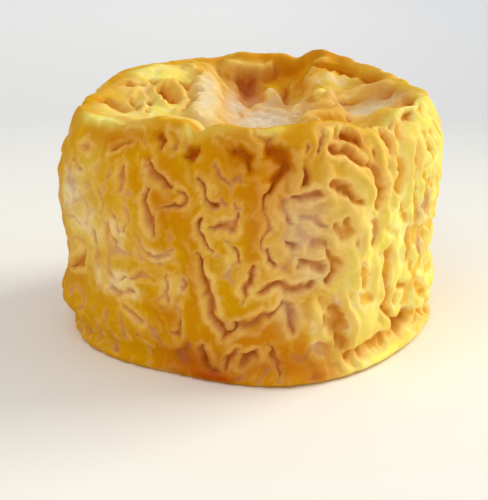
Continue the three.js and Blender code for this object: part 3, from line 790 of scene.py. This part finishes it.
# Where each tint of the top lies: x, y, mm wide, mm tall, strength.
topAreas = {
    "bloom": [
        (-10.8, 0, 3.6, 28, 0.9), (-28, 13, 4, 3, 0.9), (-25, -8, 3, 6, 0.7), (-16.2, 2, 1.6, 12, 0.9),
        (-22, -15, 8, 3.5, 0.8), (-32, -10, 4, 5, 0.6), (4.6, 25, 2.2, 5, 0.9), (21.5, 22, 5, 2.6, 1),
        (11.2, 10, 1.4, 14, 0.9), (25, 15, 7, 1.6, 0.8), (27, 3, 7, 6, 0.9), (-26, 5, 3, 7, 0.8),
        (-30, 11, 4, 3, 0.8), (0, -24, 9, 4, 0.8), (-22, -26, 8, 4, 0.6), (20, -18, 6, 5, 0.6),
    ],
    "ash": [
        (3, 4, 8, 14, 1), (2, 0, 9, 12, 1), (-4, 16, 3, 10, 1), (-4.4, 24, 2.4, 6, 0.8),
        (4, 19, 4, 4, 0.6), (27, 4, 7, 6, 0.8), (-10.4, 0, 3.4, 26, 0.65), (-0.3, 26, 2.4, 5, 1),
        (34, 3.8, 2.6, 0.8, 0.7), (22, 11, 3, 2, 0.4),
    ],
    # sunny: painted light, paler and brighter where the light falls on the left shelf, the banks and the
    # rims
    "sunny": [
        (-24, -6, 12, 18, 0.8), (-10.5, 0, 3, 26, 0.5), (-1.5, 34.8, 5, 1.3, 1), (41, -4, 3.4, 20, 1),
        (-24, 22, 12, 7, 0.9), (18.2, 14, 2.2, 3, 0.8), (22, 20, 5, 3, 0.4), (24, 2, 8, 10, 0.2),
        (10, -30, 14, 4, 0.7), (-14, -32, 12, 3, 0.7),
    ],
    "warm": [
        (2, 38, 30, 4, 1), (8, 34, 9, 2.6, 1), (-6, 36, 3, 1.6, 1), (24, 27.5, 6, 3, 1),
        (31, 20, 4, 5, 1), (14.2, 3, 1.3, 12, 1), (-14.3, -4, 1, 10, 1), (-20, 5, 1.9, 9, 1),
        (-32, -1.5, 2.6, 7, 1), (-18.2, 17.6, 3, 1.2, 1), (8.3, 23, 1.4, 7, 1), (34.4, -9, 2.6, 12, 1),
        (35.6, -2, 2, 7, 1), (32.8, 8.1, 1.8, 1.2, 1), (18, 2, 4, 9, 0.5), (-23.2, -1, 1, 4, 0.8),
        (12, 27, 3, 5, 0.7),
    ],
    # deep: painted shade in the pits and under the back ledge of the hollow
    "deep": [
        (-0.8, 30, 3.4, 5, 1), (-0.2, 24, 2, 4, 0.7), (-18.4, 17.7, 2.6, 0.8, 0.5),
        (-33.2, 1, 1.4, 5, 0.6), (-19, 0, 1, 4, 0.25), (30.3, 16.4, 2.6, 1.2, 0.5),
        (8.4, 23, 0.9, 6, 0.5), (9, 34, 8, 1.8, 0.15), (-3, 8, 0.6, 5, 0.4), (-6, 36.2, 2, 1, 0.4),
        (34, -14, 1.2, 7, 0.2),
    ],
}


# Height of the top's skin and its tints, on the top's sheet.
def topRelief():
    s, look = topSheet, topLook
    wobble = [look["wobble"] * blotches(s, 5.0, seed) for seed in (51, 52)]
    bend = [look["bend"] * blotches(s, 6.0, seed) for seed in (53, 54)]
    bank, bankOn = stamp(s, topMarks["banks"], bend, "bank", 0.15)
    ridge, ridgeOn = stamp(s, topMarks["ridges"], wobble, "ridge", 0.25)
    pit, pitOn = stamp(s, topMarks["pits"], wobble, "pit", 0.3)
    tint = {name: topTint(spots) for name, spots in topAreas.items()}
    inner = smoothStep(*look["rim"], np.hypot(s["x"][None], s["y"][:, None]))
    hold = 0.9 * np.maximum(smoothStep(0.5, 1, ridgeOn), pitOn)
    folds = buckled(s, ridgeOn - 1.2 * pitOn, hold, look["folds"], 5)
    small = buckled(s, np.clip(folds, -1, 1), 0.2, look["smallFolds"], 46)
    relief = smoothStep(-0.8, 0.5, folds + 0.25 * blotches(s, 6.0, 44))
    swell = sum(up * patch(s, x, y, wide, tall) for x, y, wide, tall, up in topMarks["swells"])
    wrinkled = inner * (0.45 + 0.7 * tint["ash"]) * (1 - 0.85 * bankOn)
    height = look["foldDepth"] * (relief - 1) * wrinkled + soften(s, bank, 0.5)
    height = height + ridge - look["pit"] * pit + swell
    height = height + 0.3 * (smoothStep(-0.9, 0.5, small) - 0.6) * wrinkled
    height = height + look["uneven"] * blotches(s, 3.4, 47)
    fields = {"height": height, "relief": relief, "pit": pit, "ridge": ridgeOn, "inPit": pitOn}
    fields = ragged(s, fields, 0.2, 0.25, 71)
    height, slope = soften(s, fields["height"], 0.2), soften(s, fields["relief"], 0.45)
    inPit = np.clip(fields["inPit"], 0, 1)
    risen = np.clip(fields["relief"] - 0.3 * fields["pit"], 0, 1)
    print("top relief made")
    return {
        "height": height,
        **slides(s, slope, look["pinch"] * inner),
        "relief": mixTo(wallLook["rimRelief"], risen, look["pattern"] * inner),
        "cavity": np.clip(soften(s, height, 1.3) - height, -0.6, 1),
        "line": np.zeros(s["shape"]),
        "lip": 0.7 * fields["ridge"],
        "rust": np.zeros(s["shape"]),
        "deep": np.clip(np.maximum(fields["pit"] / look["pitFull"], tint["deep"]), 0, 1),
        "bloom": tint["bloom"] * (1 - 0.85 * inPit),
        "sunny": tint["sunny"] * (1 - 0.9 * inPit),
        "warm": np.maximum(tint["warm"], inPit),
        "ash": tint["ash"] * (1 - 0.5 * inPit),
    }


# Rings of the mesh: columns round the wall, mm from ring to ring, and the base's rings, each with its
# radius and the share of the columns it has. On the top the columns halve where this much run is left.
mesh = {
    "columns": 640,
    "ringStep": 0.52,
    "baseRings": [(9, 8), (17, 8), (24, 4), (30, 4), (35, 2), (38.5, 2), (40.5, 1), (42.0, 1)],
    "topHalvings": (35, 18, 9, 4.5),
}


# Runs and column counts of the rings, from the middle of the base to the middle of the top.
def ringPlan():
    columns, last = mesh["columns"], sectionRun[-1]
    plan = [(radius + sectionRun[0], columns // share) for radius, share in mesh["baseRings"]]
    for run in np.arange(0, last - 1.0, mesh["ringStep"]):
        halvings = sum(last - run <= left for left in mesh["topHalvings"])
        plan.append((run, columns // 2**halvings))
    return plan


# Triangles or quads between two rings: one for one, or two columns to one.
def joinRings(startA, columnsA, startB, columnsB):
    if columnsA == columnsB:
        i = np.arange(columnsA)
        j = (i + 1) % columnsA
        return np.stack([startA + i, startA + j, startB + j, startB + i], -1)
    (coarse, coarseStart), (fine, fineStart) = sorted([(columnsA, startA), (columnsB, startB)])
    k = np.arange(coarse)
    a, b, c = fineStart + 2 * k, fineStart + 2 * k + 1, fineStart + (2 * k + 2) % fine
    p, q = coarseStart + k, coarseStart + (k + 1) % coarse
    faces = np.concatenate([np.stack(corners, -1) for corners in ((a, b, p), (b, q, p), (b, c, q))])
    return faces if columnsA > columnsB else faces[:, ::-1]


# Faces of the whole skin: the rings joined one to the next, and a fan of triangles at each pole.
def skinFaces(counts, pole):
    starts = np.concatenate([[0], np.cumsum(counts)]) + 1
    quads, tris = [], []
    for i in range(len(counts) - 1):
        faces = joinRings(starts[i], counts[i], starts[i + 1], counts[i + 1])
        (quads if faces.shape[1] == 4 else tris).append(faces)
    first, final = np.arange(counts[0]), np.arange(counts[-1])
    after = starts[-2] + (final + 1) % counts[-1]
    tris.append(np.stack([0 * first, 1 + (first + 1) % counts[0], 1 + first], -1))
    tris.append(np.stack([0 * final + pole, starts[-2] + final, after], -1))
    return [face for block in quads + tris for face in block.tolist()]


# How the wall's sheet hands over to the top's and to the plain base.
seams = {
    "toTop": (34, 39),  # radius, inside the rim
    "toBase": (2.0, -1.0),  # run, where the tints fade
    "foot": (-1, 4),  # run, over which the wrinkles rise
    "slide": (0.3, 3.0),  # run, over which the skin may slide
    "baseRelief": 0.8,
}
tintNames = ("relief", "cavity", "line", "lip", "deep", "bloom", "sunny", "warm", "ash", "rust")


# Points and tints of the wrinkled skin: the body's point at each ring place, moved along the skin and
# then straight out by the sheet's height.
def wrinkledSkin(plan):
    wall, top = wallRelief(), topRelief()
    runs = np.concatenate([np.full(n, run) for run, n in plan])
    angles = np.concatenate([np.arange(n) * 360 / n - 180 for _, n in plan])
    flat = np.interp(runs, sectionRun, sectionRadius)
    asWall = np.where(runs > crestRun, smoothStep(*seams["toTop"], flat), 1.0)
    under = smoothStep(*seams["toBase"], runs)
    onWall = angles * alongDegree, np.maximum(runs, 0)
    onTop = flat * wave(angles), flat * np.sin(np.radians(angles))

    slide = smoothStep(*seams["slide"], runs)
    slideX, slideY = (readSheet(wallSheet, wall[name], *onWall) for name in ("slideX", "slideY"))
    points = bodyPoint(angles + slideX / alongDegree * slide, runs + slideY * slide)
    rise = readSheet(wallSheet, wall["height"], *onWall) * smoothStep(*seams["foot"], runs)
    points = points + outwards(angles, runs) * rise[:, None]

    slideX, slideY = (readSheet(topSheet, top[name], *onTop) for name in ("slideX", "slideY"))
    x, y = onTop[0] + slideX, onTop[1] + slideY
    inwards = slice(None, -81, -1)  # the section's last stretches, from the middle out
    angle = np.degrees(np.arctan2(y, x))
    run = np.interp(np.hypot(x, y), sectionRadius[inwards], sectionRun[inwards])
    rise = readSheet(topSheet, top["height"], *onTop)
    topPoints = bodyPoint(angle, run) + outwards(angle, run) * rise[:, None]
    points = mixTo(topPoints, points, asWall[:, None])

    [rise] = readSheet(topSheet, top["height"], *np.zeros((2, 1)))
    pole = bodyPoint(0.0, sectionRun[-1])[2] + rise
    points = np.vstack([[[0, 0, 0]], points, [[0, 0, pole]]])
    tints = {}
    for name in tintNames:
        fromTop = readSheet(topSheet, top[name], *onTop)
        tint = mixTo(fromTop, readSheet(wallSheet, wall[name], *onWall), asWall)
        tint = mixTo(tint, seams["baseRelief"] if name == "relief" else 0.0, under)
        tints[name] = np.concatenate([[tint[0]], tint, [tint[-1]]])
    return points, tints


# The skin is moved and stretched by the last little bit so that it fills the frame's box.
def fitToFrame(points):
    low, high = np.array(cadLow) / mm, np.array(cadHigh) / mm
    scale = (high - low) / (points.max(0) - points.min(0))
    print("fit to the frame's box:", np.round(scale, 4))
    return (points - points.min(0)) * scale + low


# The cheese as one closed piece, with its tints as attributes of its points.
def makeCheese():
    plan = ringPlan()
    points, tints = wrinkledSkin(plan)
    faces = skinFaces([n for _, n in plan], len(points) - 1)
    data = bpy.data.meshes.new("cheeseRind")
    data.from_pydata((fitToFrame(points) * mm).tolist(), [], faces)
    data.polygons.foreach_set("use_smooth", np.ones(len(data.polygons), bool))
    for name, values in tints.items():
        data.attributes.new(name, "FLOAT", "POINT").data.foreach_set("value", values.astype(np.float32))
    data.update()
    piece = bpy.data.objects.new("wrinkled_cheese", data)
    bpy.context.scene.collection.objects.link(piece)
    print("cheese mesh made:", len(points), "points,", len(faces), "faces")
    return piece


# Linear colour from 0 to 255 values.
def tone(red, green, blue):
    c = np.array([red, green, blue]) / 255
    linear = np.where(c <= 0.04045, c / 12.92, ((c + 0.055) / 1.055) ** 2.4)
    return (*linear.tolist(), 1.0)


rindLook = {
    # how high on its fold, then the colour there
    "mustard": [
        (0.0, (222, 162, 92)), (0.35, (229, 170, 66)), (0.6, (228, 171, 24)),
        (0.85, (222, 162, 0)), (1.0, (218, 155, 0)),
    ],
    "ochre": [
        (0.0, (208, 138, 66)), (0.35, (219, 147, 34)), (0.6, (220, 146, 4)),
        (0.85, (213, 134, 0)), (1.0, (210, 128, 0)),
    ],
    "bloomed": [
        (0.0, (212, 164, 112)), (0.4, (240, 204, 148)), (0.75, (250, 220, 150)), (1.0, (244, 206, 104)),
    ],
    # sunlit: painted light, the pale bright yellow laid where the light falls
    "sunlit": [
        (0.0, (252, 208, 78)), (0.35, (255, 240, 136)), (0.7, (255, 252, 164)), (1.0, (255, 247, 120)),
    ],
    "ash": (222, 206, 181),
    # the next three colours are painted shade: brown for the creases, a bright orange for creases where
    # painted light lies, and a darker orange-brown for the pits and the foot
    "crease": (204, 112, 0),
    "lit": (236, 172, 40),
    "pocketShade": (190, 92, 0),
    "rust": (178, 44, 0),
    "lip": (254, 212, 120),
    # how far each of those goes where it lies
    "sunlitShare": 0.95,
    "lipShare": 0.75,
    "creaseShadeShare": 0.8,
    "pocketShadeShare": 0.8,
    "rustShare": 0.8,
    # waves to the metre
    "broad": 70,
    "medium": 260,
    "fine": 1100,
    "roughness": 0.55,
    "shine": 0.03,
    "scatter": 0.12,
    "scatterRadius": (1.0, 0.5, 0.18),
    "scatterScale": 0.002,
    "grainDepth": 0.0002,
    "grainStrength": 0.75,
}


class NodeBench:
    # Adds nodes to a material and wires them, so that a finish reads from top to bottom.
    def __init__(self, name):
        self.material = bpy.data.materials.new(name)
        self.material.use_nodes = True
        self.tree = self.material.node_tree
        self.tree.nodes.clear()

    def add(self, kind, settings=None, **inputs):
        node = self.tree.nodes.new(kind)
        for key, value in (settings or {}).items():
            setattr(node, key, value)
        for key, value in inputs.items():
            self.feed(node.inputs[key.replace("_", " ")], value)
        return node

    def feed(self, socket, value):
        if isinstance(value, bpy.types.NodeSocket):
            self.tree.links.new(value, socket)
        else:
            socket.default_value = value

    def place(self):
        return self.add("ShaderNodeTexCoord").outputs["Object"]

    def attribute(self, name):
        return self.add("ShaderNodeAttribute", {"attribute_name": name}).outputs["Fac"]

    def math(self, operation, a, b=0.0, c=0.0, clamp=False):
        node = self.add("ShaderNodeMath", {"operation": operation, "use_clamp": clamp})
        for socket, value in zip(node.inputs, (a, b, c)):
            self.feed(socket, value)
        return node.outputs[0]

    def plus(self, a, b, clamp=False):
        return self.math("ADD", a, b, clamp=clamp)

    def minus(self, a, b):
        return self.math("SUBTRACT", a, b)

    def times(self, a, b, clamp=False):
        return self.math("MULTIPLY", a, b, clamp=clamp)

    def ramp(self, factor, stops):
        node = self.add("ShaderNodeValToRGB", Fac=factor)
        bar = node.color_ramp
        while len(bar.elements) < len(stops):
            bar.elements.new(0.5)
        for element, (place, colour) in zip(bar.elements, stops):
            element.position = place
            element.color = tone(*colour)
        return node.outputs["Color"]

    def mix(self, factor, a, b, blend="MIX"):
        node = self.add("ShaderNodeMix", {"data_type": "RGBA", "blend_type": blend})
        for socket, value in ((0, factor), (6, a), (7, b)):
            self.feed(node.inputs[socket], value)
        return node.outputs[2]

    def noise(self, place, scale, detail, rough=0.55):
        node = self.add("ShaderNodeTexNoise", Vector=place, Scale=scale, Detail=detail, Roughness=rough)
        return node.outputs["Fac"]

    def spread(self, value, low, high):
        node = self.add("ShaderNodeMapRange", {"interpolation_type": "SMOOTHSTEP"}, Value=value)
        self.feed(node.inputs["From Min"], low)
        self.feed(node.inputs["From Max"], high)
        return node.outputs["Result"]

    def finish(self, shader):
        out = self.add("ShaderNodeOutputMaterial")
        self.feed(out.inputs["Surface"], shader.outputs[0])
        return self.material


# The rind: mustard to ochre by the height on its fold, then the tints laid over it one by one, painted
# light and painted shade among them.
def rindMaterial():
    look, b = rindLook, NodeBench("washedRind")
    place = b.place()
    relief, cavity, line, lip, deep, bloom, sunny, warm, ash, rust = (b.attribute(n) for n in tintNames)
    broad = b.noise(place, look["broad"], 3)
    medium = b.noise(place, look["medium"], 4)
    fine = b.noise(place, look["fine"], 4, 0.65)
    mottle = b.minus(medium, 0.5)
    # how high on its fold a spot lies, roughened a little
    level = b.minus(relief, b.times(b.math("MAXIMUM", cavity, 0.0), 0.3))
    level = b.plus(level, b.times(mottle, 0.5))
    level = b.math("MULTIPLY_ADD", level, 1.5, -0.28, clamp=True)
    warmth = b.plus(warm, b.times(b.minus(broad, 0.5), 2.0), clamp=True)
    colour = b.mix(warmth, b.ramp(level, look["mustard"]), b.ramp(level, look["ochre"]))
    # painted light: paler, brighter yellow where the sunny spots say the light falls
    colour = b.mix(b.times(sunny, look["sunlitShare"], clamp=True), colour, b.ramp(level, look["sunlit"]))
    # the pale bloom lies in patches
    patchy = b.times(b.minus(b.plus(broad, medium), 1.0), 1.1)
    colour = b.mix(b.spread(b.plus(bloom, patchy), 0.3, 0.85), colour, b.ramp(level, look["bloomed"]))
    # pale lips and edges, less so where the rind is warm
    edge = b.times(b.spread(b.times(cavity, -1.0), 0.15, 0.55), 0.4)
    edge = b.math("MAXIMUM", edge, b.times(lip, look["lipShare"]))
    edge = b.times(edge, b.minus(1.0, b.times(warm, 0.6)))
    colour = b.mix(edge, colour, tone(*look["lip"]))
    # painted shade darkens the creases, hollows and pits, orange where painted light lies; then grey ash
    # and rusty spots
    paintedShade = b.math("MAXIMUM", b.times(line, 0.75), b.spread(cavity, 0.3, 0.9))
    shade = b.mix(sunny, tone(*look["crease"]), tone(*look["lit"]))
    colour = b.mix(b.times(paintedShade, look["creaseShadeShare"]), colour, shade)
    colour = b.mix(b.times(deep, look["pocketShadeShare"]), colour, tone(*look["pocketShade"]))
    dusty = b.times(ash, b.minus(0.9, b.times(deep, 0.55)), clamp=True)
    colour = b.mix(dusty, colour, tone(*look["ash"]))
    colour = b.mix(b.times(rust, look["rustShare"]), colour, tone(*look["rust"]))
    grain = b.plus(medium, b.times(fine, 0.35))
    depth, strength = look["grainDepth"], look["grainStrength"]
    bumped = b.add("ShaderNodeBump", Strength=strength, Distance=depth, Height=grain)
    rough = b.plus(look["roughness"], b.times(mottle, 0.25))
    shader = b.add("ShaderNodeBsdfPrincipled", Base_Color=colour, Roughness=rough, Normal=bumped.outputs[0])
    shader.inputs["Subsurface Weight"].default_value = look["scatter"]
    shader.inputs["Subsurface Radius"].default_value = look["scatterRadius"]
    shader.inputs["Subsurface Scale"].default_value = look["scatterScale"]
    shader.inputs["Specular IOR Level"].default_value = look["shine"]
    return b.finish(shader)


# The stage, in metres.
stageLook = {
    "camera": (-0.00185, -0.2444, 0.1),
    "pitch": 19.1,
    "lens": 76.9,
    "floorHalf": 4.0,
    # how far back, then the floor's colour there: painted shade, brightest at the front and dimmer further
    # back
    "floor": [(0.0, (251, 249, 240)), (0.27, (230, 230, 230)), (1.0, (240, 240, 242))],
    "floorBack": (-0.03, 0.7),
    # painted shade: the floor is darker towards the right and the back
    "floorRightShade": (232, 234, 238),  # the floor's colour is multiplied by this far to the right
    "air": (252, 253, 255),
    "airStrength": 0.45,
    # name, size, power, colour, place
    "lights": [
        ("keyLight", 1.8, 65.0, (1.0, 0.985, 0.895), (2.5, 1.1, 1.9)),
        ("topLight", 3.2, 42.0, (1.0, 0.99, 0.98), (-1.2, -1.5, 3.0)),
        ("sideLight", 1.2, 13.0, (1.0, 0.98, 0.94), (2.5, -0.5, 0.45)),
    ],
    "aim": (0, 0, 0.03),
}


# The camera looks level across and down by the pitch.
def makeCamera():
    data = bpy.data.cameras.new("camera")
    data.lens = stageLook["lens"]
    camera = bpy.data.objects.new("camera", data)
    camera.location = stageLook["camera"]
    camera.rotation_euler = (math.radians(90 - stageLook["pitch"]), 0, 0)
    bpy.context.scene.collection.objects.link(camera)
    bpy.context.scene.camera = camera


# A pale floor with painted shade: its colour darkens and cools a little towards the back and the right.
def makeFloor():
    look, half = stageLook, stageLook["floorHalf"]
    data = bpy.data.meshes.new("floor")
    corners = [(-half, -half, 0), (half, -half, 0), (half, half, 0), (-half, half, 0)]
    data.from_pydata(corners, [], [(0, 1, 2, 3)])
    floor = bpy.data.objects.new("floor", data)
    bpy.context.scene.collection.objects.link(floor)
    b = NodeBench("paleFloor")
    split = b.add("ShaderNodeSeparateXYZ", Vector=b.place())
    sideways, back = split.outputs["X"], split.outputs["Y"]
    # painted shade towards the right and the back
    right = b.times(b.spread(sideways, -0.05, 0.25), b.spread(back, 0.0, 0.25))
    colour = b.ramp(b.spread(back, *look["floorBack"]), look["floor"])
    colour = b.mix(right, colour, tone(*look["floorRightShade"]), "MULTIPLY")
    shader = b.add("ShaderNodeBsdfPrincipled", Base_Color=colour, Roughness=0.7)
    data.materials.append(b.finish(shader))


# A square lamp at a place, turned towards the aim: tilt from straight down, then turn about the upright.
def softLight(name, size, power, colour, place):
    data = bpy.data.lights.new(name, "AREA")
    data.size, data.energy, data.color = size, power, colour
    lamp = bpy.data.objects.new(name, data)
    lamp.location = place
    x, y, z = np.array(stageLook["aim"]) - np.array(place)
    lamp.rotation_euler = (math.atan2(math.hypot(x, y), -z), 0, math.atan2(y, x) - math.pi / 2)
    bpy.context.scene.collection.objects.link(lamp)


# Even air light, and three soft lamps.
def lightStage():
    world = bpy.data.worlds.new("studio")
    world.use_nodes = True
    air = world.node_tree.nodes["Background"].inputs
    air["Color"].default_value = tone(*stageLook["air"])
    air["Strength"].default_value = stageLook["airStrength"]
    bpy.context.scene.world = world
    for lamp in stageLook["lights"]:
        softLight(*lamp)
    bpy.context.scene.view_settings.view_transform = "Standard"


makeCamera()
makeFloor()
lightStage()
cheese = makeCheese()
cheese.data.materials.append(rindMaterial())
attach(cheese, "root")
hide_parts("cheese_wheel")
print("cheese dressed")
